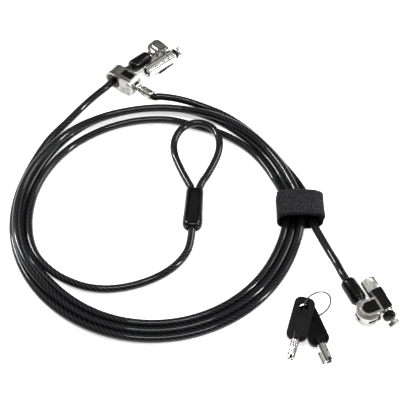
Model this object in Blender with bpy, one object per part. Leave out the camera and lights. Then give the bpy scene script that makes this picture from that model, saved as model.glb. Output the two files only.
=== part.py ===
"""Twin-head laptop cable lock: coiled steel cable, two swivelling key locks,
a sliding swivel eyelet, a looped cable end, a hook-and-loop tie and two keys.

Every size is a named value in millimetres at the top; MM turns them into metres.
"""
import math

import bmesh
import bpy
from mathutils import Euler, Matrix, Vector

MM = 0.001
GAP = 0.3                    # clearance left between neighbouring pieces

# ---------------------------------------------------------------- where the origin lies
CENTRE_X = 27.33             # middle of the pieces that aren't cable, on the table
CENTRE_Y = 9.38

# ---------------------------------------------------------------- cable
CABLE_D = 5.5                # jacketed cable, outside
COIL_X = -31.0               # centre of the coil on the table
COIL_Y = -13.3
COIL_R = 103.4               # outside radius of the coil
COIL_W = 3 * CABLE_D         # three turns side by side
COIL_STEP = CABLE_D          # width of the single-height inner turn
COIL_NEST = 4.8              # how far an upper turn stands above the lower two
COIL_H = CABLE_D + COIL_NEST


def beyond_coil(gap, angle):
    """A place on the table, so far outside the coil, at that angle round it."""
    a = math.radians(angle)
    return COIL_X + (COIL_R + gap) * math.cos(a), COIL_Y + (COIL_R + gap) * math.sin(a)


# ---------------------------------------------------------------- lock head
HEAD_1_OUT = 59.75           # knuckle centre of the first lock, beyond the coil
HEAD_1_AT = -31.03
HEAD_1_TURN = -66.0          # heading of its cable axis, degrees
HEAD_2_OUT = 54.55
HEAD_2_AT = 91.38
HEAD_2_TURN = 43.0
PLUG_D = 7.8
PLUG_LIP = 0.5
PLUG_FRONT = 8.3
KEYWAY_OUT = PLUG_D - 2 * PLUG_LIP
KEYWAY_IN = 3.0
KEYWAY_DEEP = 8.0
BORE_D = PLUG_D + 2 * GAP
BARREL_WALL = 1.0
BARREL_D = BORE_D + 2 * BARREL_WALL
BARREL_BACK = 21.3
BARREL_FRONT = 1.0
DRUM_D = 15.2
DRUM_H = 9.0
DRUM_INSET = 0.8             # the drum lies this far into the barrel's wall
AXIS_SPAN = DRUM_D / 2 + BARREL_D / 2 - DRUM_INSET   # cable axis to barrel axis
STUD_D = CABLE_D - 0.3
SLEEVE_WALL = 2.5
SLEEVE_D = STUD_D + 2 * (GAP + SLEEVE_WALL)
SLEEVE_BACK = 27.0           # sleeve end, behind the knuckle centre
SLEEVE_ROOM = 1.3
SLEEVE_FRONT = DRUM_D / 2 + SLEEVE_ROOM
NECK_D = 6.8
PIN_D = 3.4
PLATE_W = 11.5
PLATE_T = 1.4
BADGE_RIM = 1.5
BADGE_DEEP = 1.0
BADGE_FLOOR = 1.0
PLATE_LOW = DRUM_H / 2 + GAP + PLATE_T
PLATE_TOP = DRUM_H / 2 + GAP + BADGE_FLOOR + BADGE_DEEP
COVER_W = 8.0
COVER_T = 0.8
SPINDLE_D = 3.2
SPRING_WIRE = 0.3
SPRING_TURNS = 4
SPRING_R = SPINDLE_D / 2 + SPRING_WIRE + 0.65
CAP_OVER = 0.3
CAP_D = BARREL_D + 2 * CAP_OVER
CAP_FRONT = 6.6
CAP_HOLLOW = 2 * (SPRING_R + SPRING_WIRE + 0.55)
TBAR_L = 7.2
TBAR_W = 3.1
TBAR_T = 2.5
TBAR_TURN = 38.0             # where the bar stands, degrees
COLLAR_D = TBAR_L + 1.6
COLLAR_L = 2.8
COLLAR_FRONT = CAP_FRONT + COLLAR_L
GUIDE_L = 0.9
LATCH_TRAVEL = 1.8
TBAR_BACK = COLLAR_FRONT + GUIDE_L + LATCH_TRAVEL + GAP
BUTTON_W = 6.8
BUTTON_BACK = 11.0
BUTTON_FRONT = 4.4
BUTTON_STEP = 3.6
BUTTON_TOP = CAP_D / 2 + 1.8
BUTTON_LOW = CAP_D / 2 + 1.0
PLATE_REACH = AXIS_SPAN - BUTTON_W / 2 - 0.4          # plates end this far across, over the barrel
SHOULDER_R = math.hypot(PLATE_REACH, PLATE_W / 2) + GAP   # the plates' corners sweep inside this
WINDOW_W = 6.0
WINDOW_H = 3.2
WINDOW_DEEP = 2.2
HEAD_1_X, HEAD_1_Y = beyond_coil(HEAD_1_OUT, HEAD_1_AT)
HEAD_2_X, HEAD_2_Y = beyond_coil(HEAD_2_OUT, HEAD_2_AT)

# ---------------------------------------------------------------- slider
SLIDER_OUT = 25.12           # slider's middle, beyond the coil
SLIDER_AT = 102.86
SLIDER_TURN = -37.0
SLIDER_L = 28.0
SLIDER_H = 16.0
SLIDER_BACK = 5.2
SLIDER_FRONT = 4.0
FLANGE_T = 1.4
FLANGE_GAP = 0.6
EYE_WALL = 1.7
EYE_X = (SLIDER_H - SLIDER_L) / 2        # the eye is centred in the rounded end
BUSH_D = SLIDER_H - 2 * (EYE_WALL + GAP)
LINK_PIN_D = 2.6
LINK_H = 5.4
LINK_T = 3.6
LINK_NECK_D = 3.6
LINK_PIN_X = SLIDER_L / 2 - 4.8
LINK_END = SLIDER_L / 2 + 3.8
PANEL_X0 = EYE_X + 5.0
PANEL_X1 = LINK_PIN_X - 0.2
PANEL_DEEP = 1.2
FERRULE_D = CABLE_D + 1.9
FERRULE_L = 10.9
FERRULE_START = LINK_END + GAP
FERRULE_END = FERRULE_START + FERRULE_L
SLIDER_X, SLIDER_Y = beyond_coil(SLIDER_OUT, SLIDER_AT)

# ---------------------------------------------------------------- looped end
LOOP_SLEEVE_X = -4.6
LOOP_SLEEVE_Y = -11.9
LOOP_SLEEVE_TURN = 86.6
LOOP_SLEEVE_L = 33.4
LOOP_SLEEVE_W0 = 12.4        # at the loop
LOOP_SLEEVE_W1 = 14.2        # at the tail
LOOP_SLEEVE_T = 9.4
LOOP_SLEEVE_Z = LOOP_SLEEVE_T / 2
LOOP_CORE_W = LOOP_SLEEVE_W0 - 1.8
LOOP_CORE_T = LOOP_SLEEVE_T - 4.0
LOOP_CORE_L = LOOP_SLEEVE_L - 7.4

# ---------------------------------------------------------------- tie
STRAP_X = COIL_X + COIL_R - 2.6
STRAP_Y = -15.0
STRAP_W = 21.0
STRAP_RX = 16.2
STRAP_H = 17.4
STRAP_T = 1.6
TAB_T = 1.2
TAB_FROM = 20.0              # where the overlapping end starts and stops, degrees
TAB_TO = 150.0

# ---------------------------------------------------------------- keys
KEY_1_OUT = 24.58            # first key's hole, beyond the coil
KEY_1_AT = -39.67
KEY_1_Z = 10.4
KEY_1_TURN = -107.0
KEY_1_PITCH = 10.8
KEY_2_Z = 4.1
KEY_2_TURN = -71.0
KEY_2_PITCH = 1.0
BOW_W = 13.5
BOW_T = 2.8
BOW_BACK = 6.5
BOW_FRONT = 23.5
BOW_HOLE = 5.8
BOW_CORNER = 4.5
BLADE_D = 6.2
BLADE_BORE = 3.8
BLADE_TIP = 36.0
RING_R = 9.5
RING_WIRE = 1.2
RING_TURN = 20.0
RING_LEAN = 68.0
KEY_1_X, KEY_1_Y = beyond_coil(KEY_1_OUT, KEY_1_AT)

for _o in list(bpy.data.objects):
    bpy.data.objects.remove(_o, do_unlink=True)

SCENE = bpy.context.scene
ROOT = SCENE.collection


def material(name, colour, rough, metal):
    m = bpy.data.materials.new(name)
    m.use_nodes = True
    b = m.node_tree.nodes["Principled BSDF"]
    b.inputs["Base Color"].default_value = (colour[0], colour[1], colour[2], 1.0)
    b.inputs["Roughness"].default_value = rough
    b.inputs["Metallic"].default_value = metal
    m.diffuse_color = (colour[0], colour[1], colour[2], 1.0)
    return m


MATS = {
    "jacket": ((0.012, 0.012, 0.013), 0.28, 0.0),
    "chrome": ((0.80, 0.79, 0.77), 0.16, 1.0),
    "satin": ((0.60, 0.59, 0.57), 0.36, 1.0),
    "steel": ((0.55, 0.55, 0.54), 0.30, 1.0),
    "brass": ((0.66, 0.52, 0.26), 0.30, 1.0),
    "black": ((0.016, 0.016, 0.017), 0.38, 0.0),
    "matt": ((0.022, 0.022, 0.023), 0.65, 0.0),
    "cloth": ((0.020, 0.020, 0.022), 0.90, 0.0),
    "aluminium": ((0.70, 0.70, 0.70), 0.40, 1.0),
}


def empty(name, loc, rot=(0, 0, 0), parent=None):
    e = bpy.data.objects.new(name, None)
    e.empty_display_size = 0.005
    ROOT.objects.link(e)
    e.location = Vector(loc) * MM
    e.rotation_euler = Euler([math.radians(a) for a in rot], "XYZ")
    e.parent = parent
    return e


def put(name, bm, kind, parent=None, loc=(0, 0, 0), rot=(0, 0, 0), smooth=40.0):
    bmesh.ops.remove_doubles(bm, verts=bm.verts, dist=1e-7)
    bmesh.ops.recalc_face_normals(bm, faces=bm.faces)
    me = bpy.data.meshes.new(name)
    bm.to_mesh(me)
    bm.free()
    if smooth:
        me.shade_smooth()
        me.set_sharp_from_angle(angle=math.radians(smooth))
    ob = bpy.data.objects.new(name, me)
    ROOT.objects.link(ob)
    if kind:
        c, r, m = MATS[kind]
        me.materials.append(material(name + "_finish", c, r, m))
    ob.location = Vector(loc) * MM
    ob.rotation_euler = Euler([math.radians(a) for a in rot], "XYZ")
    ob.parent = parent
    return ob


def turned(profile, seg=32, closed=False, axis="Z"):
    """Solid of revolution. profile = (radius, height) in mm; an open profile
    runs from the axis to the axis, a closed one is a ring's section."""
    bm = bmesh.new()
    rings = []
    for r, h in profile:
        if r < 1e-9:
            rings.append([bm.verts.new((0, 0, h * MM))])
        else:
            rings.append([bm.verts.new((r * MM * math.cos(2 * math.pi * k / seg),
                                        r * MM * math.sin(2 * math.pi * k / seg), h * MM))
                          for k in range(seg)])
    pairs = list(zip(rings, rings[1:]))
    if closed:
        pairs.append((rings[-1], rings[0]))
    for a, b in pairs:
        for k in range(seg):
            k2 = (k + 1) % seg
            if len(a) == 1 and len(b) == 1:
                continue
            if len(a) == 1:
                bm.faces.new((a[0], b[k], b[k2]))
            elif len(b) == 1:
                bm.faces.new((a[k], a[k2], b[0]))
            else:
                bm.faces.new((a[k], a[k2], b[k2], b[k]))
    if axis == "X":
        bmesh.ops.transform(bm, matrix=Matrix.Rotation(math.radians(90), 4, "Y"), verts=bm.verts)
    elif axis == "Y":
        bmesh.ops.transform(bm, matrix=Matrix.Rotation(math.radians(-90), 4, "X"), verts=bm.verts)
    return bm


def prism(outline, lo, hi, axis="Z"):
    """Straight solid on a flat outline (mm). axis Z: outline is x,y; axis Y: outline is x,z."""
    bm = bmesh.new()
    if axis == "Z":
        a = [bm.verts.new((p[0] * MM, p[1] * MM, lo * MM)) for p in outline]
        b = [bm.verts.new((p[0] * MM, p[1] * MM, hi * MM)) for p in outline]
    elif axis == "Y":
        a = [bm.verts.new((p[0] * MM, lo * MM, p[1] * MM)) for p in outline]
        b = [bm.verts.new((p[0] * MM, hi * MM, p[1] * MM)) for p in outline]
    else:
        a = [bm.verts.new((lo * MM, p[0] * MM, p[1] * MM)) for p in outline]
        b = [bm.verts.new((hi * MM, p[0] * MM, p[1] * MM)) for p in outline]
    n = len(outline)
    bm.faces.new(a)
    bm.faces.new(list(reversed(b)))
    for k in range(n):
        bm.faces.new((a[k], b[k], b[(k + 1) % n], a[(k + 1) % n]))
    return bm


def box(x0, x1, y0, y1, z0, z1):
    return prism([(x0, y0), (x1, y0), (x1, y1), (x0, y1)], z0, z1)


def rounded(x0, x1, y0, y1, r, seg=6):
    pts = []
    for cx, cy, a0 in ((x1 - r, y1 - r, 0), (x0 + r, y1 - r, 90), (x0 + r, y0 + r, 180), (x1 - r, y0 + r, 270)):
        for k in range(seg + 1):
            a = math.radians(a0 + 90.0 * k / seg)
            pts.append((cx + r * math.cos(a), cy + r * math.sin(a)))
    out = []
    for p in pts:
        if not out or (abs(p[0] - out[-1][0]) + abs(p[1] - out[-1][1])) > 1e-6:
            out.append(p)
    if abs(out[0][0] - out[-1][0]) + abs(out[0][1] - out[-1][1]) < 1e-6:
        out.pop()
    return out


def half_round(x_half, y_end, y_flat, seg=14):
    """Outline rounded at one end (y = -x_half side) and square at y_flat."""
    pts = [(x_half, y_flat), (-x_half, y_flat)]
    for k in range(seg + 1):
        a = math.pi + math.pi * k / seg
        pts.append((x_half * math.cos(a), y_end + x_half * math.sin(a)))
    return pts


def cut(ob, bm, op="DIFFERENCE", loc=(0, 0, 0), rot=(0, 0, 0), tag="tool"):
    """Add a boolean with its own hidden cutter, placed in the piece's own frame."""
    bmesh.ops.recalc_face_normals(bm, faces=bm.faces)
    me = bpy.data.meshes.new(ob.name + "_" + tag)
    bm.to_mesh(me)
    bm.free()
    c = bpy.data.objects.new(ob.name + "_" + tag, me)
    ROOT.objects.link(c)
    c.parent = ob
    c.location = Vector(loc) * MM
    c.rotation_euler = Euler([math.radians(a) for a in rot], "XYZ")
    c.hide_render = True
    c.display_type = "WIRE"
    m = ob.modifiers.new(tag, "BOOLEAN")
    m.operation = op
    m.solver = "EXACT"
    m.object = c
    return c


def cord(name, pts):
    """Plain jacketed cable along a settled route (mm)."""
    cu = bpy.data.curves.new(name, "CURVE")
    cu.dimensions = "3D"
    cu.bevel_depth = CABLE_D / 2 * MM
    cu.bevel_resolution = 3
    cu.use_fill_caps = True
    cu.resolution_u = 1
    cu.render_resolution_u = 0
    sp = cu.splines.new("POLY")
    sp.points.add(len(pts) - 1)
    for q, p in zip(sp.points, pts):
        q.co = (p[0] * MM, p[1] * MM, p[2] * MM, 1.0)
    c, r, m = MATS["jacket"]
    cu.materials.append(material(name + "_finish", c, r, m))
    ob = bpy.data.objects.new(name, cu)
    ROOT.objects.link(ob)
    return ob


# ================================================================ lock head
def lock_head(n, x, y, z, turn, roll):
    t = "_%d" % n
    head = empty("head" + t, (x, y, z), (roll, 0, turn))
    S = AXIS_SPAN
    s_r = SLEEVE_D / 2
    bore = STUD_D / 2 + GAP
    neck = NECK_D / 2
    cbore = neck + GAP
    h = DRUM_H / 2

    # black cable sleeve with a rounded back shoulder, bored for the stud
    b, f = -SLEEVE_BACK, -SLEEVE_FRONT
    shoulder = b + 13.0
    put("cable_sleeve" + t, turned(
        [(bore, b), (s_r - 1.6, b), (s_r - 0.7, b + 0.5), (s_r - 0.2, b + 1.2), (s_r, b + 2.2),
         (s_r, -SHOULDER_R - 0.6), (s_r - 0.6, -SHOULDER_R), (h - 0.2, -SHOULDER_R), (h - 0.2, f - 0.3),
         (h - 0.5, f), (cbore, f), (cbore, shoulder), (bore, shoulder)],
        28, True, "X"), "black", head)

    # swaged stud on the cable end, its flange turning in the sleeve
    put("cable_stud" + t, turned(
        [(0, b + GAP), (STUD_D / 2, b + GAP), (STUD_D / 2, shoulder + GAP), (neck, shoulder + GAP),
         (neck, shoulder + GAP + 1.4), (0, shoulder + GAP + 1.4)], 20, False, "X"), "steel", head)

    # swivel knuckle: windowed drum with a neck plugged into the sleeve
    r = DRUM_D / 2
    k = put("knuckle" + t, turned(
        [(PIN_D / 2 + GAP, -h), (r - 0.5, -h), (r, -h + 0.5), (r, h - 0.5), (r - 0.5, h), (PIN_D / 2 + GAP, h)],
        32, True), "satin", head)
    cut(k, turned([(0, shoulder + 2 * GAP + 1.4), (neck, shoulder + 2 * GAP + 1.4), (neck, -r + 1.5), (0, -r + 1.5)],
                  24, False, "X"), "UNION", tag="neck")
    win = rounded(-WINDOW_W / 2, WINDOW_W / 2, -WINDOW_H / 2, WINDOW_H / 2, WINDOW_H / 2 - 0.05, 4)
    for i, a in enumerate((0.0, -90.0, 90.0)):
        cut(k, prism(win, r - WINDOW_DEEP, r + 2.0, "X"), "DIFFERENCE", rot=(0, 0, a), tag="window%d" % i)

    # pivot pin of the knuckle
    put("pivot_pin" + t, turned([(0, -PLATE_LOW + GAP), (PIN_D / 2, -PLATE_LOW + GAP),
                                 (PIN_D / 2, PLATE_TOP - BADGE_DEEP - GAP), (0, PLATE_TOP - BADGE_DEEP - GAP)], 20),
        "steel", head)

    # bridge housing: barrel tube, two plates and the bridge between them
    br = BARREL_D / 2
    hs = put("housing" + t, prism(half_round(PLATE_W / 2, 0.0, PLATE_REACH), -PLATE_LOW, PLATE_TOP), "chrome", head)
    cut(hs, box(-BARREL_FRONT, PLATE_W, PLATE_REACH - 5.0, PLATE_REACH + 6.0, -h - GAP, h + GAP), tag="front")
    cut(hs, turned([(0, -BARREL_FRONT), (CAP_D / 2 + GAP, -BARREL_FRONT), (CAP_D / 2 + GAP, PLATE_W), (0, PLATE_W)],
                   48, False, "X"), loc=(0, S, 0), tag="nose")
    cut(hs, turned([(0, -BARREL_BACK), (br - 0.4, -BARREL_BACK), (br, -BARREL_BACK + 0.4),
                    (br, -BARREL_FRONT), (0, -BARREL_FRONT)], 36, False, "X"),
        "UNION", loc=(0, S, 0), tag="barrel")
    cut(hs, turned([(0, -h - GAP), (r + GAP, -h - GAP), (r + GAP, h + GAP), (0, h + GAP)], 40), tag="pocket")
    cut(hs, turned([(0, -BARREL_BACK - 1), (BORE_D / 2, -BARREL_BACK - 1), (BORE_D / 2, -PLUG_FRONT + GAP),
                    (SPINDLE_D / 2 + GAP, -PLUG_FRONT + GAP), (SPINDLE_D / 2 + GAP, 1), (0, 1)], 32, False, "X"),
        loc=(0, S, 0), tag="bore")
    cut(hs, turned([(0, -PLATE_LOW - 1), (PIN_D / 2 + GAP, -PLATE_LOW - 1), (PIN_D / 2 + GAP, PLATE_TOP + 1),
                    (0, PLATE_TOP + 1)], 24), tag="pin_hole")
    rim = PLATE_W / 2 - BADGE_RIM
    cut(hs, prism(half_round(rim, 0.0, PLATE_REACH - BADGE_RIM), PLATE_TOP - BADGE_DEEP, PLATE_TOP + 1), tag="badge")

    # bare black badge panel in the recess, plain cover on the other face
    put("badge_panel" + t, prism(half_round(rim - GAP, 0.0, PLATE_REACH - BADGE_RIM - GAP),
                                 PLATE_TOP - BADGE_DEEP + GAP, PLATE_TOP - 0.25), "black", head)
    put("plain_cover" + t, prism(rounded(-COVER_W / 2 + 1.2, COVER_W / 2 + 1.2, -5.2, PLATE_REACH,
                                         COVER_W / 2 - 0.2, 7),
                                 -PLATE_LOW - GAP - COVER_T, -PLATE_LOW - GAP), "chrome", head)

    # key plug with its ring-shaped keyway, then the spindle and locking bar
    pr = PLUG_D / 2
    pb = -BARREL_BACK + 0.6
    put("key_plug" + t, turned(
        [(0, pb + 0.4), (KEYWAY_IN / 2, pb + 0.4), (KEYWAY_IN / 2, pb + KEYWAY_DEEP),
         (KEYWAY_OUT / 2, pb + KEYWAY_DEEP), (KEYWAY_OUT / 2, pb), (pr, pb), (pr, -PLUG_FRONT), (0, -PLUG_FRONT)],
        32, False, "X"), "steel", head, loc=(0, S, 0))
    tb = put("locking_bar" + t, turned(
        [(0, -PLUG_FRONT + GAP), (SPINDLE_D / 2, -PLUG_FRONT + GAP), (SPINDLE_D / 2, TBAR_BACK + TBAR_T - 0.6),
         (0, TBAR_BACK + TBAR_T - 0.6)], 20, False, "X"), "steel", head, loc=(0, S, 0))
    cut(tb, prism(rounded(-TBAR_L / 2, TBAR_L / 2, -TBAR_W / 2, TBAR_W / 2, 0.6, 3),
                  TBAR_BACK, TBAR_BACK + TBAR_T, "X"), "UNION", rot=(TBAR_TURN, 0, 0), tag="bar")

    # nose cap, return spring, nose collar and latch button
    cr = CAP_D / 2
    cb = -BARREL_FRONT + GAP
    ch = CAP_HOLLOW / 2
    cap = put("nose_cap" + t, turned(
        [(ch, cb), (cr - 0.3, cb), (cr, cb + 0.3), (cr, CAP_FRONT - 1.6), (cr - 0.5, CAP_FRONT - 0.5),
         (cr - 1.6, CAP_FRONT), (SPINDLE_D / 2 + GAP, CAP_FRONT), (SPINDLE_D / 2 + GAP, CAP_FRONT - 1.4),
         (ch, CAP_FRONT - 1.4)], 28, True, "X"), "chrome", head, loc=(0, S, 0))
    cut(cap, turned([(0, -h - GAP), (r + GAP, -h - GAP), (r + GAP, h + GAP), (0, h + GAP)], 40),
        loc=(0, -S, 0), tag="pocket")

    bm = bmesh.new()
    seg, side = 12, 5
    steps = SPRING_TURNS * seg
    x0, x1 = cb + 0.9, CAP_FRONT - 1.4 - 0.6
    rings = []
    for i in range(steps + 1):
        a = 2 * math.pi * i / seg
        rad = Vector((0, math.cos(a), math.sin(a)))
        pitch = (x1 - x0) / steps
        tang = Vector((pitch, -math.sin(a) * SPRING_R * 2 * math.pi / seg, math.cos(a) * SPRING_R * 2 * math.pi / seg))
        bi = tang.normalized().cross(rad)
        c = Vector((x0 + pitch * i, 0, 0)) + rad * SPRING_R
        rings.append([bm.verts.new((c + (rad * math.cos(2 * math.pi * j / side)
                                         + bi * math.sin(2 * math.pi * j / side)) * SPRING_WIRE) * MM)
                      for j in range(side)])
    for a, b2 in zip(rings, rings[1:]):
        for j in range(side):
            bm.faces.new((a[j], a[(j + 1) % side], b2[(j + 1) % side], b2[j]))
    bm.faces.new(list(reversed(rings[0])))
    bm.faces.new(rings[-1])
    put("latch_spring" + t, bm, "steel", head, loc=(0, S, 0))

    col = put("nose_collar" + t, turned(
        [(SPINDLE_D / 2 + GAP, CAP_FRONT + GAP), (COLLAR_D / 2 - 0.3, CAP_FRONT + GAP),
         (COLLAR_D / 2, CAP_FRONT + GAP + 0.3), (COLLAR_D / 2, COLLAR_FRONT - 0.7),
         (COLLAR_D / 2 - 0.7, COLLAR_FRONT), (SPINDLE_D / 2 + GAP, COLLAR_FRONT)], 24, True, "X"),
        "black", head, loc=(0, S, 0))
    guide = prism(rounded(-TBAR_L / 2 + 0.4, TBAR_L / 2 - 0.4, -TBAR_W / 2 - 0.6, TBAR_W / 2 + 0.6, 0.7, 3),
                  COLLAR_FRONT - 1.0, COLLAR_FRONT + GUIDE_L, "X")
    cut(col, guide, "UNION", tag="guide")
    cut(col, turned([(0, CAP_FRONT - 1), (SPINDLE_D / 2 + GAP, CAP_FRONT - 1),
                     (SPINDLE_D / 2 + GAP, COLLAR_FRONT + GUIDE_L + 1), (0, COLLAR_FRONT + GUIDE_L + 1)],
                    20, False, "X"), tag="bore")

    prof = [(-BUTTON_BACK, 0.0), (BUTTON_FRONT, 0.0), (BUTTON_FRONT, BUTTON_LOW), (-BUTTON_STEP, BUTTON_LOW),
            (-BUTTON_STEP - 0.6, BUTTON_TOP), (-BUTTON_BACK + 0.6, BUTTON_TOP), (-BUTTON_BACK, BUTTON_TOP - 0.6)]
    bt = put("latch_button" + t, prism(prof, -BUTTON_W / 2, BUTTON_W / 2, "Y"), "matt", head, loc=(0, S, 0))
    cut(bt, turned([(0, -BUTTON_BACK - 3), (CAP_D / 2 + GAP, -BUTTON_BACK - 3), (CAP_D / 2 + GAP, BUTTON_FRONT + 3),
                    (0, BUTTON_FRONT + 3)], 48, False, "X"), tag="saddle")
    return head


H1_Z = PLATE_LOW + GAP + COVER_T
H2_Z = BUTTON_TOP
lock_head(1, HEAD_1_X, HEAD_1_Y, H1_Z, HEAD_1_TURN, 0.0)
lock_head(2, HEAD_2_X, HEAD_2_Y, H2_Z, HEAD_2_TURN, 180.0)

# ================================================================ slider
sl = empty("slider", (SLIDER_X, SLIDER_Y, SLIDER_H / 2), (0, 0, SLIDER_TURN))
hl, hh = SLIDER_L / 2, SLIDER_H / 2
stad = rounded(-hl, hl, -hh, hh, hh - 0.1, 10)
body = put("slider_body", prism(stad, -SLIDER_FRONT, SLIDER_BACK, "Y"), "satin", sl)
bushing_hole = BUSH_D / 2 + GAP
cut(body, turned([(0, -SLIDER_FRONT - 2), (bushing_hole, -SLIDER_FRONT - 2), (bushing_hole, SLIDER_BACK + 2),
                  (0, SLIDER_BACK + 2)], 32, False, "Y"), loc=(EYE_X, 0, 0), tag="eye")
cut(body, box(PANEL_X0, PANEL_X1, -SLIDER_FRONT + 1.4, SLIDER_BACK - 1.6, hh - PANEL_DEEP, hh + 2), tag="panel")
cut(body, box(LINK_PIN_X - LINK_H / 2 - 0.9, hl + 2, -LINK_T / 2 - GAP, LINK_T / 2 + GAP, -hh - 1, hh - 3.2),
    tag="fork")
cut(body, turned([(0, -9), (LINK_PIN_D / 2 + GAP, -9), (LINK_PIN_D / 2 + GAP, 9), (0, 9)], 20, False, "Y"),
    loc=(LINK_PIN_X, 0, 0), tag="pin_hole")

y1 = -SLIDER_FRONT - FLANGE_GAP
y0 = y1 - FLANGE_T
flange = put("slider_flange", prism(stad, y0, y1, "Y"), "chrome", sl)
cut(flange, turned([(0, y0 - 1), (bushing_hole, y0 - 1), (bushing_hole, y1 + 1), (0, y1 + 1)], 32, False, "Y"),
    loc=(EYE_X, 0, 0), tag="eye")
cut(flange, turned([(0, -9), (LINK_PIN_D / 2 + GAP, -9), (LINK_PIN_D / 2 + GAP, 9), (0, 9)], 20, False, "Y"),
    loc=(LINK_PIN_X, 0, 0), tag="pin_hole")
for i, zz in enumerate((4.4, -4.4)):
    cut(flange, box(LINK_PIN_X - 1.3, LINK_PIN_X + 1.3, y0 - 1, y1 + 1, zz - 0.55, zz + 0.55), tag="slot%d" % i)

put("slider_bushing", turned(
    [(CABLE_D / 2 + GAP, y0 - 0.4), (CABLE_D / 2 + 1.6, y0 - 0.4), (BUSH_D / 2 - 0.5, y0 - 0.4),
     (BUSH_D / 2, y0 + 0.1), (BUSH_D / 2, SLIDER_BACK - 0.2), (CABLE_D / 2 + GAP, SLIDER_BACK - 0.2)],
    32, True, "Y"), "black", sl, loc=(EYE_X, 0, 0))
put("slider_panel", box(PANEL_X0 + GAP, PANEL_X1 - GAP, -SLIDER_FRONT + 1.4 + GAP, SLIDER_BACK - 1.6 - GAP,
                        hh - PANEL_DEEP + GAP, hh - 0.2), "black", sl)
put("link_pin", turned([(0, y0 + 0.1), (LINK_PIN_D / 2, y0 + 0.1), (LINK_PIN_D / 2, SLIDER_BACK - 0.2),
                        (0, SLIDER_BACK - 0.2)], 20, False, "Y"), "steel", sl, loc=(LINK_PIN_X, 0, 0))
lk = put("swivel_link", prism(rounded(-LINK_H / 2, hl - LINK_PIN_X + 1.0, -LINK_H / 2, LINK_H / 2,
                                      LINK_H / 2 - 0.1, 8), -LINK_T / 2, LINK_T / 2, "Y"),
         "chrome", sl, loc=(LINK_PIN_X, 0, 0))
cut(lk, turned([(0, hl - LINK_PIN_X - 1.5), (LINK_NECK_D / 2, hl - LINK_PIN_X - 1.5),
                (LINK_NECK_D / 2, LINK_END - LINK_PIN_X + 1.4), (0, LINK_END - LINK_PIN_X + 1.4)], 20, False, "X"),
    "UNION", tag="neck")
cut(lk, turned([(0, -9), (LINK_PIN_D / 2 + GAP, -9), (LINK_PIN_D / 2 + GAP, 9), (0, 9)], 20, False, "Y"),
    tag="hole")
fr = FERRULE_D / 2
nr = LINK_NECK_D / 2 + GAP
fer = put("crimp_ferrule", turned(
    [(0, FERRULE_START + 1.7), (nr, FERRULE_START + 1.7), (nr, FERRULE_START), (fr - 0.6, FERRULE_START),
     (fr, FERRULE_START + 0.6), (fr, FERRULE_END - 0.5), (fr - 0.5, FERRULE_END), (0, FERRULE_END)],
    24, False, "X"), "satin", sl)
for i, (zz, a) in enumerate(((1, 0), (-1, 0), (1, 90), (-1, 90))):
    cut(fer, box(FERRULE_START + 4.2, FERRULE_END - 2.0, -5, 5, fr - 0.45, fr + 2), rot=(a + (0 if zz > 0 else 180), 0, 0),
        tag="flat%d" % i)

# ================================================================ looped cable end
ls = empty("loop_end", (LOOP_SLEEVE_X, LOOP_SLEEVE_Y, LOOP_SLEEVE_Z), (0, 0, LOOP_SLEEVE_TURN))
bm = bmesh.new()
sections = [(-LOOP_SLEEVE_L / 2, LOOP_SLEEVE_W1 - 2.2, LOOP_SLEEVE_T - 2.2),
            (-LOOP_SLEEVE_L / 2 + 0.6, LOOP_SLEEVE_W1 - 0.7, LOOP_SLEEVE_T - 0.7),
            (-LOOP_SLEEVE_L / 2 + 1.8, LOOP_SLEEVE_W1, LOOP_SLEEVE_T),
            (0.0, (LOOP_SLEEVE_W0 + LOOP_SLEEVE_W1) / 2, LOOP_SLEEVE_T),
            (LOOP_SLEEVE_L / 2 - 1.0, LOOP_SLEEVE_W0, LOOP_SLEEVE_T - 0.4),
            (LOOP_SLEEVE_L / 2, LOOP_SLEEVE_W0 - 1.0, LOOP_SLEEVE_T - 1.4)]
loops = []
for x, w, tk in sections:
    r = tk / 2 - 0.05
    loops.append([bm.verts.new((x * MM, p[0] * MM, p[1] * MM))
                  for p in rounded(-w / 2, w / 2, -tk / 2, tk / 2, r, 7)])
for a, b2 in zip(loops, loops[1:]):
    for k in range(len(a)):
        bm.faces.new((a[k], b2[k], b2[(k + 1) % len(a)], a[(k + 1) % len(a)]))
bm.faces.new(loops[0])
bm.faces.new(list(reversed(loops[-1])))
lsl = put("loop_sleeve", bm, "black", ls)
cut(lsl, prism(rounded(-LOOP_CORE_W / 2 - GAP, LOOP_CORE_W / 2 + GAP, -LOOP_CORE_T / 2 - GAP, LOOP_CORE_T / 2 + GAP,
                       LOOP_CORE_T / 2 + GAP - 0.05, 6), -LOOP_SLEEVE_L, LOOP_SLEEVE_L, "X"), tag="through")
put("loop_core", prism(rounded(-LOOP_CORE_W / 2, LOOP_CORE_W / 2, -LOOP_CORE_T / 2, LOOP_CORE_T / 2,
                               LOOP_CORE_T / 2 - 0.05, 6), -LOOP_CORE_L / 2, LOOP_CORE_L / 2, "X"), "aluminium", ls)

# ================================================================ tie
def oval(rx, rz, a):
    """Flattened round outline of the tie."""
    c, s = math.cos(a), math.sin(a)
    e = 2.0 / 3.0
    return (rx * math.copysign(abs(c) ** e, c), rz * math.copysign(abs(s) ** e, s))


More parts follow.
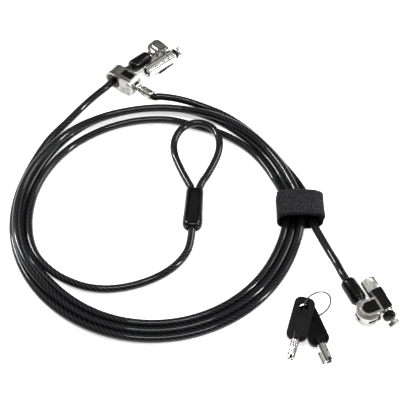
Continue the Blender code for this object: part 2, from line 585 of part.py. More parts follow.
def band(rx0, rz0, rx1, rz1, width, seg=44):
    """Closed band between an outer and an inner oval, lying along Y."""
    bm = bmesh.new()
    outer = [oval(rx0, rz0, 2 * math.pi * k / seg) for k in range(seg)]
    inner = [oval(rx1, rz1, 2 * math.pi * k / seg) for k in range(seg)]
    vo = [[bm.verts.new((p[0] * MM, y * MM, p[1] * MM)) for p in outer] for y in (-width / 2, width / 2)]
    vi = [[bm.verts.new((p[0] * MM, y * MM, p[1] * MM)) for p in inner] for y in (-width / 2, width / 2)]
    for k in range(seg):
        j = (k + 1) % seg
        bm.faces.new((vo[0][k], vo[0][j], vo[1][j], vo[1][k]))
        bm.faces.new((vi[0][k], vi[1][k], vi[1][j], vi[0][j]))
        bm.faces.new((vo[0][k], vi[0][k], vi[0][j], vo[0][j]))
        bm.faces.new((vo[1][k], vo[1][j], vi[1][j], vi[1][k]))
    return bm


TIE_RX = STRAP_RX - STRAP_T
TIE_RZ = STRAP_H / 2 - STRAP_T
put("tie_band", band(STRAP_RX, STRAP_H / 2, TIE_RX, TIE_RZ, STRAP_W), "cloth", None,
    loc=(STRAP_X, STRAP_Y, STRAP_H / 2))

bm = bmesh.new()
n = 18
arc = [math.radians(TAB_FROM + (TAB_TO - TAB_FROM) * k / n) for k in range(n + 1)]
rows = []
for y in (-STRAP_W / 2 + 0.4, STRAP_W / 2 - 0.4):
    lo = [oval(STRAP_RX + GAP, STRAP_H / 2 + GAP, a) for a in arc]
    hi = [oval(STRAP_RX + GAP + TAB_T, STRAP_H / 2 + GAP + TAB_T, a) for a in arc]
    rows.append(([bm.verts.new((p[0] * MM, y * MM, p[1] * MM)) for p in lo],
                 [bm.verts.new((p[0] * MM, y * MM, p[1] * MM)) for p in hi]))
(l0, u0), (l1, u1) = rows
for k in range(n):
    bm.faces.new((u0[k], u0[k + 1], u1[k + 1], u1[k]))
    bm.faces.new((l0[k], l1[k], l1[k + 1], l0[k + 1]))
    bm.faces.new((l0[k], l0[k + 1], u0[k + 1], u0[k]))
    bm.faces.new((l1[k], u1[k], u1[k + 1], l1[k + 1]))
bm.faces.new((l0[0], u0[0], u1[0], l1[0]))
bm.faces.new((l0[n], l1[n], u1[n], u0[n]))
put("tie_tab", bm, "cloth", None, loc=(STRAP_X, STRAP_Y, STRAP_H / 2))

# ================================================================ coil
ri = COIL_R - COIL_W
coil = put("cable_coil", turned(
    [(ri + 1.0, 0.0), (COIL_R - 1.0, 0.0), (COIL_R, 1.0), (COIL_R, COIL_H - 1.5), (COIL_R - 1.5, COIL_H),
     (ri + COIL_STEP + 1.0, COIL_H), (ri + COIL_STEP, COIL_H - 1.0), (ri + COIL_STEP, CABLE_D),
     (ri, CABLE_D), (ri, 1.0)], 72, True), "jacket", None, loc=(COIL_X, COIL_Y, 0))
# the tie squeezes the turns into its own oval
cut(coil, band(STRAP_RX + 10.0, STRAP_H / 2 + 10.0, TIE_RX - GAP, TIE_RZ - GAP, STRAP_W + 2 * GAP),
    loc=(STRAP_X - COIL_X, STRAP_Y - COIL_Y, STRAP_H / 2), tag="squeeze")


# ================================================================ keys
def key(n, x, y, z, turn, pitch):
    t = "_%d" % n
    k = empty("key" + t, (x, y, z), (0, pitch, turn))
    bow = put("key_bow" + t, prism(rounded(-BOW_BACK, BOW_FRONT, -BOW_W / 2, BOW_W / 2, BOW_CORNER, 6),
                                   -BOW_T / 2, BOW_T / 2), "black", k)
    cut(bow, turned([(0, -5), (BOW_HOLE / 2, -5), (BOW_HOLE / 2, 5), (0, 5)], 20), tag="hole")
    for i, zz in enumerate((1, -1)):
        cut(bow, prism(rounded(4.5, BOW_FRONT - 5.5, -BOW_W / 2 + 3.0, BOW_W / 2 - 3.0, 2.0, 4),
                       BOW_T / 2 - 0.5, BOW_T / 2 + 2), rot=(0 if zz > 0 else 180, 0, 0), tag="recess%d" % i)
    cut(bow, turned([(0, BOW_FRONT - 5.0), (BLADE_D / 2 + 0.5, BOW_FRONT - 5.0), (BLADE_D / 2 + 0.5, BOW_FRONT - 0.3),
                     (0, BOW_FRONT - 0.3)], 24, False, "X"), "UNION", tag="boss")
    cut(bow, turned([(0, BOW_FRONT - 3.5), (BLADE_D / 2 + GAP, BOW_FRONT - 3.5), (BLADE_D / 2 + GAP, BOW_FRONT + 3),
                     (0, BOW_FRONT + 3)], 24, False, "X"), tag="socket")
    bl = put("key_tube" + t, turned(
        [(0, BOW_FRONT - 3.2), (BLADE_D / 2, BOW_FRONT - 3.2), (BLADE_D / 2, BLADE_TIP - 0.3),
         (BLADE_D / 2 - 0.3, BLADE_TIP), (BLADE_BORE / 2, BLADE_TIP), (BLADE_BORE / 2, BLADE_TIP - 9.0),
         (0, BLADE_TIP - 9.0)], 28, False, "X"), "chrome", k)
    cut(bl, box(BLADE_TIP - 2.4, BLADE_TIP + 1, -0.7, 0.7, 0.5, 5), tag="notch")
    put("key_bit" + t, box(BLADE_TIP - 8.0, BLADE_TIP + 0.4, -BLADE_D / 2 - GAP - 1.3, -BLADE_D / 2 - GAP, -0.7, 0.7),
        "steel", k)
    return k


# the ring leans on the table and passes through both holes
lean = math.radians(RING_LEAN)
ra = math.radians(RING_TURN)
ax = Vector((math.cos(ra), math.sin(ra), 0))
hx = Vector((-math.sin(ra), math.cos(ra), 0))
bx = hx * math.cos(lean) + Vector((0, 0, 1)) * math.sin(lean)
ring_z = RING_R * math.sin(lean) + RING_WIRE / 2


def on_ring(z):
    """Where the ring passes height z on its near side, from its own centre."""
    p = math.pi - math.asin((z - ring_z) / (RING_R * math.sin(lean)))
    return (ax * math.cos(p) + bx * math.sin(p)) * RING_R


ring_c = Vector((KEY_1_X, KEY_1_Y, KEY_1_Z)) - on_ring(KEY_1_Z)
key_2 = ring_c + on_ring(KEY_2_Z)
key(1, KEY_1_X, KEY_1_Y, KEY_1_Z, KEY_1_TURN, KEY_1_PITCH)
key(2, key_2.x, key_2.y, key_2.z, KEY_2_TURN, KEY_2_PITCH)
bm = turned([(RING_R + RING_WIRE / 2 * math.cos(2 * math.pi * k / 8),
              RING_WIRE / 2 * math.sin(2 * math.pi * k / 8)) for k in range(8)], 36, True)
ring = put("key_ring", bm, "steel", None, loc=ring_c)
mat = Matrix((ax, bx, ax.cross(bx))).transposed()
ring.rotation_euler = mat.to_euler("XYZ")

# ================================================================ cable routes
h1 = math.radians(HEAD_1_TURN)
h2 = math.radians(HEAD_2_TURN)
st = math.radians(SLIDER_TURN)
lt = math.radians(LOOP_SLEEVE_TURN)


def from_head(x, y, z, a, back):
    return (x - back * math.cos(a), y - back * math.sin(a), z)


def from_slider(u, v, z):
    return (SLIDER_X + u * math.cos(st) - v * math.sin(st), SLIDER_Y + u * math.sin(st) + v * math.cos(st), z)


def from_loop(u, v, z):
    return (LOOP_SLEEVE_X + u * math.cos(lt) - v * math.sin(lt), LOOP_SLEEVE_Y + u * math.sin(lt) + v * math.cos(lt), z)


L_END = LOOP_SLEEVE_L / 2 + GAP + 0.3
cord("cable_loop", [from_loop(L_END, -3.0, LOOP_SLEEVE_Z), from_loop(L_END + 2.0, -3.1, LOOP_SLEEVE_Z),
                    (1.9, 13.0, 4.9), (5.4, 19.0, 5.3), (9.5, 27.6, 5.9),
                    (13.0, 36.5, 6.8), (14.4, 44.8, 7.6), (13.3, 54.0, 8.4), (9.2, 61.2, 8.7), (3.2, 65.3, 8.7),
                    (-3.4, 66.2, 8.7), (-9.6, 63.8, 8.7), (-14.6, 59.2, 8.5), (-18.0, 52.6, 8.0), (-19.4, 45.0, 7.3),
                    (-18.4, 36.2, 6.5), (-15.4, 27.6, 5.7), (-11.9, 19.2, 5.2), (-8.8, 12.6, 4.9),
                    from_loop(L_END + 2.0, 3.1, LOOP_SLEEVE_Z), from_loop(L_END, 3.0, LOOP_SLEEVE_Z)])
cord("cable_tail", [from_loop(-L_END, 0, LOOP_SLEEVE_Z), (-6.4, -37.0, 4.0), (-8.4, -45.4, 3.2), (-12.9, -53.2, 2.85),
                    (-19.2, -60.2, 2.8), (-28.0, -66.6, 2.8), (-39.4, -72.0, 2.8), (-51.6, -75.4, 2.8),
                    (-63.7, -76.5, 2.8), (-75.6, -75.0, 2.8), (-86.8, -70.9, 2.8), (-95.9, -65.8, 2.8)])
sx = SLEEVE_BACK + GAP
cord("cable_to_slider", [(-113.4, 54.6, 2.8), (-108.2, 62.6, 2.9), (-100.2, 73.2, 3.6), (-91.4, 84.6, 4.9),
                         (-81.8, 95.4, 6.6), from_slider(EYE_X, -14.0, SLIDER_H / 2 - 0.1), from_slider(EYE_X, -9.0, SLIDER_H / 2),
                         from_slider(EYE_X, 0.0, SLIDER_H / 2), from_slider(EYE_X, 8.6, SLIDER_H / 2),
                         from_head(HEAD_2_X, HEAD_2_Y, H2_Z + 0.2, h2, sx + 3.2),
                         from_head(HEAD_2_X, HEAD_2_Y, H2_Z, h2, sx)])
cord("second_cable_start", [from_slider(FERRULE_END + GAP + 0.2, 0, SLIDER_H / 2), from_slider(FERRULE_END + 1.8, 0.0, SLIDER_H / 2),
                            (-32.4, 93.75, 8.3), (-29.6, 93.6, 8.4)])
cord("second_cable_end", [(76.3, -5.0, 6.6), (76.6, -12.5, 6.6), (77.7, -21.0, 6.5), (80.7, -29.6, 5.9),
                          (84.6, -38.8, 5.2), (88.6, -48.4, 5.0), (92.4, -57.8, 5.8),
                          from_head(HEAD_1_X, HEAD_1_Y, H1_Z - 0.2, h1, sx + 6.0),
                          from_head(HEAD_1_X, HEAD_1_Y, H1_Z, h1, sx)])

for ob in list(bpy.data.objects):
    if ob.parent is None:
        ob.location -= Vector((CENTRE_X, CENTRE_Y, 0.0)) * MM
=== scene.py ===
import math

import bmesh
import bpy
from mathutils import Matrix, Vector


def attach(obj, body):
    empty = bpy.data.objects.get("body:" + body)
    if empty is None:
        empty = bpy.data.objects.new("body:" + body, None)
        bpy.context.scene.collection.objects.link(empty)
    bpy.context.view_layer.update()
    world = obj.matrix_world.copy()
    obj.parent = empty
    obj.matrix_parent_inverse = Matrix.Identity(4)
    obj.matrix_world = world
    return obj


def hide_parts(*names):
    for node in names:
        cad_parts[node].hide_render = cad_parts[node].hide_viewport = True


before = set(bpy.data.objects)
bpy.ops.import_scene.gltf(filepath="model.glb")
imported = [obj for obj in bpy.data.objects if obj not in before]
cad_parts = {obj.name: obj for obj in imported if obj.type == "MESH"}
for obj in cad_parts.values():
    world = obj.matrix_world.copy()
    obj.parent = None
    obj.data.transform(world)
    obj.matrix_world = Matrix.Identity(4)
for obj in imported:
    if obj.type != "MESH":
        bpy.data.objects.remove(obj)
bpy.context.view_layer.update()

MM = 0.001
CENTRE_X, CENTRE_Y = 27.33, 9.38      # where the drawing's coordinates have the frame's zero, mm


def at(x, y, z):
    """A point of the drawing, in millimetres, as the frame has it."""
    return Vector((x - CENTRE_X, y - CENTRE_Y, z)) * MM


# ---------------------------------------------------------------- sizes shared with the frame, mm
CABLE_D = 5.5
COIL_X, COIL_Y = -31.0, -13.3
SLEEVE_BACK, SLEEVE_FRONT = 27.0, 8.9
AXIS_SPAN = 12.0
HEADS = {1: ((108.803, -97.402, 7.3), -66.0, 0.0), 2: ((-34.804, 144.604, 7.3), 43.0, 180.0)}
SLIDER = ((-59.605, 111.996, 8.0), -37.0)
EYE_X = -6.0
FERRULE_END = 29.0
LOOP = ((-4.6, -11.9, 4.7), 86.6)
LOOP_SLEEVE_L = 33.4
LOOP_CORE_L = 26.0
STRAP = (69.8, -15.0)
STRAP_W, STRAP_RX, STRAP_H, STRAP_T, TAB_T = 21.0, 16.2, 17.4, 1.6, 1.2
TAB_FROM, TAB_TO = 20.0, 150.0
TAB_LIFT = 1.75              # how far the end lies outside the band


def pose(point, turn=0.0, roll=0.0, pitch=0.0):
    """Where a group of pieces stands: turned about Z, then pitched about Y and rolled about X."""
    return (Matrix.Translation(at(*point)) @ Matrix.Rotation(math.radians(turn), 4, "Z")
            @ Matrix.Rotation(math.radians(pitch), 4, "Y") @ Matrix.Rotation(math.radians(roll), 4, "X"))


HEAD_AT = {n: pose(p, turn, roll) for n, (p, turn, roll) in HEADS.items()}
SLIDER_AT = pose(*SLIDER)
LOOP_AT = pose(*LOOP)


def local(place, x, y, z):
    return place @ (Vector((x, y, z)) * MM)


# ================================================================ finishes
def ink(code):
    """sRGB hex to the linear colour that the shaders take."""
    out = []
    for k in (0, 2, 4):
        c = int(code[k:k + 2], 16) / 255
        out.append(c / 12.92 if c <= 0.04045 else ((c + 0.055) / 1.055) ** 2.4)
    return (*out, 1.0)


def add(tree, kind, sockets=(), stops=(), **settings):
    """A node with its settings, its sockets' values or links, and a ramp's stops."""
    n = tree.nodes.new("ShaderNode" + kind)
    for key, value in settings.items():
        setattr(n, key, value)
    for key, value in dict(sockets).items():
        if isinstance(value, bpy.types.NodeSocket):
            tree.links.new(value, n.inputs[key])
        else:
            n.inputs[key].default_value = value
    for k, (place, code) in enumerate(stops):
        ramp = n.color_ramp.elements
        e = ramp[k] if k < len(ramp) else ramp.new(place)
        e.position = place
        e.color = ink(code)
    return n


def each(mm):
    """Scale of a pattern whose features stand this many millimetres apart."""
    return 1.0 / (mm * MM)


def finish(name):
    """An empty material with its shader and its output."""
    m = bpy.data.materials.new(name)
    m.use_nodes = True
    t = m.node_tree
    t.nodes.clear()
    shader = add(t, "BsdfPrincipled")
    add(t, "OutputMaterial", {"Surface": shader.outputs[0]})
    return m, t, shader


def put_in(tree, shader, **sockets):
    for key, value in sockets.items():
        key = key.replace("_", " ")
        if isinstance(value, bpy.types.NodeSocket):
            tree.links.new(value, shader.inputs[key])
        else:
            shader.inputs[key].default_value = value


STRANDS = 6                  # round the rope's core
LAY = 23.0                   # one strand comes round in this length, mm: some six times the rope's thickness
SCUFF_MM, CLOUD_MM = 2.381, 26.32      # the widest scuffs, and how the smoke of the skin drifts


def smoked_sheath():
    """Smoke-black PVC drawn over a seven-strand steel rope: strands show as paler slanting
    bars under a smooth skin, and the skin itself gives long unbroken highlights. The wires
    that a strand is made of are too fine to show and are left out."""
    m, t, s = finish("smoked_pvc_over_steel_rope")
    uv = add(t, "UVMap", uv_map="lay")
    parts = add(t, "SeparateXYZ", {"Vector": uv.outputs[0]})
    turns = add(t, "Math", {0: parts.outputs[1], 1: STRANDS}, operation="MULTIPLY")
    slant = add(t, "Math", {0: turns.outputs[0], 1: parts.outputs[0]}, operation="SUBTRACT")
    phase = add(t, "Math", {0: slant.outputs[0], 1: 2 * math.pi}, operation="MULTIPLY")
    wave = add(t, "Math", {0: phase.outputs[0]}, operation="COSINE")
    crown = add(t, "MapRange", {"Value": wave.outputs[0], "From Min": -1.0, "From Max": 1.0})
    here = add(t, "TexCoord")
    grain = add(t, "TexNoise", {"Vector": here.outputs["Object"], "Scale": each(SCUFF_MM), "Detail": 4.0})
    patch = add(t, "TexNoise", {"Vector": here.outputs["Object"], "Scale": each(CLOUD_MM), "Detail": 2.0})
    bars = add(t, "ValToRGB", {"Fac": crown.outputs[0]},
               stops=((0.35, "020202"), (0.72, "08080A"), (0.97, "38383B")))
    clouded = add(t, "MixRGB", {"Fac": patch.outputs["Fac"], "Color1": bars.outputs[0],
                                "Color2": ink("040405")})
    rough = add(t, "MapRange", {"Value": grain.outputs["Fac"], "To Min": 0.24, "To Max": 0.36})
    ridge = add(t, "Bump", {"Height": crown.outputs[0], "Strength": 0.30, "Distance": 0.12 * MM})
    scuff = add(t, "Bump", {"Height": grain.outputs["Fac"], "Strength": 0.12, "Distance": 0.05 * MM,
                            "Normal": ridge.outputs[0]})
    put_in(t, s, Base_Color=clouded.outputs[0], Roughness=rough.outputs[0], Normal=scuff.outputs[0],
           Coat_Weight=0.50, Coat_Roughness=0.04, Specular_IOR_Level=0.08)
    return m


FLOW_MM = 11.11              # how the plastic's gloss drifts over a moulding


def moulded(name, dark, pale, rough, grain_mm, deep, gloss):
    """Moulded black plastic: one even colour, broken by the fine texture of the mould."""
    m, t, s = finish(name)
    here = add(t, "TexCoord")
    spark = add(t, "TexNoise", {"Vector": here.outputs["Object"], "Scale": each(grain_mm), "Detail": 3.0})
    cloud = add(t, "TexNoise", {"Vector": here.outputs["Object"], "Scale": each(FLOW_MM), "Detail": 3.0})
    tint = add(t, "ValToRGB", {"Fac": cloud.outputs["Fac"]}, stops=((0.35, dark), (0.68, pale)))
    dull = add(t, "MapRange", {"Value": cloud.outputs["Fac"], "To Min": rough - 0.06, "To Max": rough + 0.10})
    pits = add(t, "Bump", {"Height": spark.outputs["Fac"], "Strength": deep, "Distance": 0.08 * MM})
    put_in(t, s, Base_Color=tint.outputs[0], Roughness=dull.outputs[0], Normal=pits.outputs[0],
           Specular_IOR_Level=gloss, Coat_Weight=0.12, Coat_Roughness=0.10)
    return m


HANDLED_MM = 4.762           # patches that fingers have dulled


def plated(name, dark, pale, rough, wave_mm, deep):
    """Plated metal: bright, a little uneven where the casting under the plate shows through."""
    m, t, s = finish(name)
    here = add(t, "TexCoord")
    swell = add(t, "TexNoise", {"Vector": here.outputs["Object"], "Scale": each(wave_mm), "Detail": 3.0})
    smear = add(t, "TexNoise", {"Vector": here.outputs["Object"], "Scale": each(HANDLED_MM), "Detail": 4.0})
    tint = add(t, "ValToRGB", {"Fac": smear.outputs["Fac"]}, stops=((0.3, dark), (0.7, pale)))
    dull = add(t, "MapRange", {"Value": smear.outputs["Fac"], "To Min": rough - 0.05, "To Max": rough + 0.09})
    cast = add(t, "Bump", {"Height": swell.outputs["Fac"], "Strength": deep, "Distance": 0.10 * MM})
    put_in(t, s, Base_Color=tint.outputs[0], Metallic=1.0, Roughness=dull.outputs[0], Normal=cast.outputs[0])
    return m


WAVE_LENGTH = 0.314          # a wave texture of scale 1 repeats in this length
OXIDE_MM = 3.846             # patches of slightly darker steel


def lathe_turned(name, dark, pale, rough, line_mm):
    """Turned steel: fine tool lines ring the work about its own axis, X."""
    m, t, s = finish(name)
    here = add(t, "TexCoord")
    lines = add(t, "TexWave", {"Vector": here.outputs["Object"], "Scale": WAVE_LENGTH / (2 * line_mm * MM),
                               "Distortion": 1.2, "Detail": 2.0}, wave_type="BANDS", bands_direction="X")
    smear = add(t, "TexNoise", {"Vector": here.outputs["Object"], "Scale": each(OXIDE_MM), "Detail": 3.0})
    tint = add(t, "ValToRGB", {"Fac": smear.outputs["Fac"]}, stops=((0.3, dark), (0.7, pale)))
    cut = add(t, "Bump", {"Height": lines.outputs["Fac"], "Strength": 0.25, "Distance": 0.03 * MM})
    put_in(t, s, Base_Color=tint.outputs[0], Metallic=1.0, Roughness=rough, Normal=cut.outputs[0])
    return m


def loop_tape():
    """Black nylon loop tape: a napped face of tiny loops over a woven ground. The loops are a
    quarter of a millimetre across; their clumps are drawn 1.3 mm wide, so that they show."""
    m, t, s = finish("nylon_loop_tape")
    uv = add(t, "UVMap", uv_map="lay")
    nap = add(t, "TexNoise", {"Vector": uv.outputs[0], "Scale": 0.75, "Detail": 5.0, "Roughness": 0.75})
    loops = add(t, "TexVoronoi", {"Vector": uv.outputs[0], "Scale": 1.9}, feature="F1")
    weft = add(t, "TexWave", {"Vector": uv.outputs[0], "Scale": 0.42, "Distortion": 2.0, "Detail": 2.0},
               wave_type="BANDS", bands_direction="Y")
    height = add(t, "Math", {0: loops.outputs["Distance"], 1: nap.outputs["Fac"]}, operation="ADD")
    total = add(t, "Math", {0: weft.outputs["Fac"], 1: 0.35, 2: height.outputs[0]}, operation="MULTIPLY_ADD")
    tint = add(t, "ValToRGB", {"Fac": nap.outputs["Fac"]},
               stops=((0.38, "030303"), (0.50, "0C0C0D"), (0.64, "3C3C40")))
    fuzz = add(t, "Bump", {"Height": total.outputs[0], "Strength": 0.75, "Distance": 0.35 * MM})
    put_in(t, s, Base_Color=tint.outputs[0], Roughness=0.92, Normal=fuzz.outputs[0], Sheen_Weight=0.10,
           Sheen_Roughness=0.45, Specular_IOR_Level=0.15)
    return m


SHEATH = smoked_sheath()
# Name, darkest and palest colour, roughness, width of the fine texture in mm, its depth, plain gloss.
# Satin plastic shines softly, the key bows' fine grain breaks the shine up, and the matt plastic is dull.
BLACK = moulded("moulded_abs_satin_black", "020202", "060606", 0.20, 0.35, 0.06, 0.16)
BOW = moulded("moulded_nylon_fine_grain", "020202", "060606", 0.34, 0.30, 0.22, 0.06)
MATT = moulded("moulded_acetal_matt_black", "020202", "070707", 0.40, 0.28, 0.25, 0.08)
# Bright plating mirrors the room, satin plating blurs it, and swaged aluminium is the dullest.
CHROME = plated("bright_nickel_chrome_on_zinc", "C9C7C3", "E9E7E3", 0.13, 2.6, 0.03)
SATIN = plated("satin_nickel_bead_blasted", "96948F", "B9B7B1", 0.27, 0.28, 0.30)
ALUMINIUM = plated("swaged_aluminium", "9C9C9C", "C0C0BF", 0.34, 0.8, 0.30)
# Turned steel shows fine rings; spring wire is the darkest metal, as its temper leaves it.
STEEL = lathe_turned("turned_steel", "8B8A88", "B5B3AF", 0.24, 0.25)
SPRING = lathe_turned("tempered_spring_wire", "4A4947", "7B7976", 0.22, 0.40)
TAPE = loop_tape()


# ================================================================ making
def flow(points, step):
    """A smooth line through the points, cut to even steps of about that many mm."""
    pts = [2 * points[0] - points[1], *points, 2 * points[-1] - points[-2]]
    fine = []
    for a, b, c, d in zip(pts, pts[1:], pts[2:], pts[3:]):
        ta, tb, tc = (max((q - p).length, 1e-9) ** 0.5 for p, q in ((a, b), (b, c), (c, d)))
        m1 = ((b - a) / ta - (c - a) / (ta + tb) + (c - b) / tb) * tb
        m2 = ((c - b) / tb - (d - b) / (tb + tc) + (d - c) / tc) * tb
        for k in range(24):
            u = k / 24
            fine.append(b * (2 * u ** 3 - 3 * u ** 2 + 1) + m1 * (u ** 3 - 2 * u ** 2 + u)
                        + c * (3 * u ** 2 - 2 * u ** 3) + m2 * (u ** 3 - u ** 2))
    fine.append(points[-1])
    run = [0.0]
    for p, q in zip(fine, fine[1:]):
        run.append(run[-1] + (q - p).length)
    n = max(2, round(run[-1] / (step * MM)))
    out, k = [], 0
    for i in range(n + 1):
        s = run[-1] * i / n
        while k < len(run) - 2 and run[k + 1] < s:
            k += 1
        u = (s - run[k]) / max(run[k + 1] - run[k], 1e-12)
        out.append(fine[k].lerp(fine[k + 1], min(max(u, 0.0), 1.0)))
    return out


def piece(name, bm, finish_, body, place=None, smooth=35.0, stands_for=()):
    """Turn worked metal, plastic or cloth into a named piece that rides on a body."""
    me = bpy.data.meshes.new(name)
    bm.to_mesh(me)
    bm.free()
    me.shade_smooth()
    if smooth:
        me.set_sharp_from_angle(angle=math.radians(smooth))
    me.materials.append(finish_)
    ob = bpy.data.objects.new(name, me)
    bpy.context.scene.collection.objects.link(ob)
    if place is not None:
        ob.matrix_world = place
    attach(ob, body)
    if stands_for:
        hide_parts(*stands_for)
    return ob


def skin(bm, rings, ends=True, along=None, closed=False):
    """Faces between rings of points, with a map of length and girth."""
    lay = bm.loops.layers.uv.new("lay")
    rows = [[bm.verts.new(p) for p in ring] for ring in rings]
    n = len(rows[0])
    pairs = list(zip(range(len(rows)), range(1, len(rows))))
    if closed:
        pairs.append((len(rows) - 1, 0))
    for i, j in pairs:
        for k in range(n):
            m = (k + 1) % n
            f = bm.faces.new((rows[i][k], rows[i][m], rows[j][m], rows[j][k]))
            ua = along[i] if along else i
            ub = along[j] if along else j
            for loop, uv in zip(f.loops, ((ua, k / n), (ua, (k + 1) / n), (ub, (k + 1) / n), (ub, k / n))):
                loop[lay].uv = uv
    if ends:
        bm.faces.new(list(reversed(rows[0])))
        bm.faces.new(rows[-1])
    bmesh.ops.recalc_face_normals(bm, faces=bm.faces)
    return bm


def lathe(profile, seg=72):
    """A closed section (x, radius), in mm, turned about the X axis."""
    rings = [[Vector((x, r * math.cos(2 * math.pi * k / seg), r * math.sin(2 * math.pi * k / seg))) * MM
              for k in range(seg)] for x, r in profile]
    return skin(bmesh.new(), rings, ends=False, along=[p[0] for p in profile], closed=True)


def oval(x, w, t, n=56):
    """A flat-sided oval standing across X."""
    out = []
    for k in range(n):
        a = 2 * math.pi * (k + 0.5) / n
        c = math.cos(a)
        out.append(Vector((x, (w - t) / 2 * math.copysign(1, c) + t / 2 * c, t / 2 * math.sin(a))) * MM)
    return out


def sheathed(line, sides=26):
    """Sheathed rope along a line, mapped by strands along it and by turns round it."""
    bm = bmesh.new()
    tangent = (line[1] - line[0]).normalized()
    side = tangent.orthogonal().normalized()
    rings, along, s = [], [], 0.0
    for i, p in enumerate(line):
        if i:
            s += (p - line[i - 1]).length / MM
        ahead = line[min(i + 1, len(line) - 1)] - line[max(i - 1, 0)]
        ahead.normalize()
        side = (side - ahead * side.dot(ahead)).normalized()
        up = ahead.cross(side)
        ring = []
        for k in range(sides):
            a = 2 * math.pi * k / sides
            ring.append(p + (side * math.cos(a) + up * math.sin(a)) * CABLE_D / 2 * MM)
        rings.append(ring)
        along.append(s * STRANDS / LAY)
    return skin(bm, rings, along=along)


def through(knots, x):
    """Smooth value between knots (x rising), with no overshoot."""
    xs = [k[0] for k in knots]
    i = max(j for j in range(len(xs)) if xs[j] <= x) if x > xs[0] else 0
    i = min(i, len(xs) - 2)
    out = []
    for c in range(1, len(knots[0])):
        ys = [k[c] for k in knots]
        slope = [(ys[j + 1] - ys[j]) / (xs[j + 1] - xs[j]) for j in range(len(xs) - 1)]

        def lean(j):
            if j == 0 or j == len(xs) - 1:
                return slope[0] if j == 0 else slope[-1]
            a, b = slope[j - 1], slope[j]
            return 0.0 if a * b <= 0 else 2 * a * b / (a + b)

        w = xs[i + 1] - xs[i]
        u = (x - xs[i]) / w
        out.append(ys[i] * (2 * u ** 3 - 3 * u ** 2 + 1) + lean(i) * w * (u ** 3 - 2 * u ** 2 + u)
                   + ys[i + 1] * (3 * u ** 2 - 2 * u ** 3) + lean(i + 1) * w * (u ** 3 - u ** 2))
    return out


def round_coil(knots, step=5.0):
    """Points of a run wound clockwise: knots are (angle, radius, height) round the coil."""
    rising = [(knots[0][0] - a, r, z) for a, r, z in knots]
    n = math.ceil(rising[-1][0] / step)
    pts = []
    for k in range(n + 1):
        x = rising[-1][0] * k / n
        r, z = through(rising, x)
        a = math.radians(knots[0][0] - x)
        pts.append(at(COIL_X + r * math.cos(a), COIL_Y + r * math.sin(a), z))
    return pts


# ================================================================ cables
# One turn of the main cable after another, from where its tail joins the coil to where it leaves.
WINDING = [
    (219, 83.5, 2.8), (212, 86.2, 2.8), (204, 88.8, 2.8), (195, 89.65, 2.8), (160, 89.5, 2.8),
    (140, 89.2, 2.8), (120, 88.6, 2.8), (100, 88.3, 2.8), (85, 88.0, 2.8), (72, 86.2, 2.8),
    (55, 88.0, 2.8), (40, 89.3, 2.8), (22, 89.9, 3.2), (8, 91.5, 5.4), (-1, 91.8, 6.0),
    (-10, 91.3, 5.3), (-26, 89.9, 3.0), (-42, 89.65, 2.8), (-125, 89.65, 2.8), (-136, 90.0, 2.8),
    (-146, 91.3, 2.8), (-156, 93.5, 2.8), (-166, 95.1, 2.8), (-200, 95.2, 2.8), (-212, 96.3, 2.8),
    (-226, 98.4, 2.8), (-240, 100.0, 2.8), (-280, 100.1, 2.8), (-296, 98.0, 2.8), (-311, 95.7, 2.8),
    (-326, 95.2, 2.8), (-344, 95.8, 3.8), (-353, 97.0, 4.8), (-361, 97.2, 4.9), (-369, 96.8, 4.5),
    (-385, 95.3, 3.0), (-400, 95.15, 2.8), (-480, 95.15, 2.8), (-492, 95.3, 3.5), (-500, 95.9, 5.5),
    (-510, 97.0, 6.9), (-521, 97.9, 7.5), (-560, 97.9, 7.55), (-573, 97.5, 7.9), (-586, 97.4, 8.3),
    (-600, 96.9, 7.7), (-620, 96.4, 7.05), (-640, 96.5, 7.15), (-656, 97.2, 8.1), (-671, 97.9, 7.85),
    (-686, 97.9, 7.6), (-704, 99.2, 8.2), (-714, 101.4, 8.2), (-721, 102.1, 7.9), (-730, 101.8, 6.9),
    (-745, 100.8, 3.5), (-760, 100.65, 2.8), (-900, 100.65, 2.8), (-918, 101.2, 2.8), (-930, 103.4, 2.8),
    (-939.5, 106.8, 2.8)]

L_END = LOOP_SLEEVE_L / 2 + 0.6
IN_SLEEVE = LOOP_CORE_L / 2 + 0.9


def of_loop(u, v):
    return local(LOOP_AT, u, v, 0)


def of_slider(u, v, z=0.0):
    return local(SLIDER_AT, u, v, z)


def behind(n, back, drop=0.0):
    p = local(HEAD_AT[n], -back, 0, 0)
    return p + Vector((0, 0, drop * MM))


def on_table(*points):
    return [at(*p) for p in points]


CABLE_STEP, LOOP_STEP = 1.5, 1.3      # spacing of the rings that a cable is made of, mm

loop_line = flow(
    [of_loop(IN_SLEEVE, -2.8), of_loop(L_END, -3.0), of_loop(L_END + 2.0, -3.1)]
    + on_table((1.9, 13.0, 4.9), (5.4, 19.0, 5.3), (9.5, 27.6, 5.9), (13.0, 36.5, 6.8), (14.4, 44.8, 7.6),
               (13.3, 54.0, 8.4), (9.2, 61.2, 8.7), (3.2, 65.3, 8.7), (-3.4, 66.2, 8.7), (-9.6, 63.8, 8.7),
               (-14.6, 59.2, 8.5), (-18.0, 52.6, 8.0), (-19.4, 45.0, 7.3), (-18.4, 36.2, 6.5),
               (-15.4, 27.6, 5.7), (-11.9, 19.2, 5.2), (-8.8, 12.6, 4.9))
    + [of_loop(L_END + 2.0, 3.1), of_loop(L_END, 3.0), of_loop(IN_SLEEVE, 2.8)], LOOP_STEP)

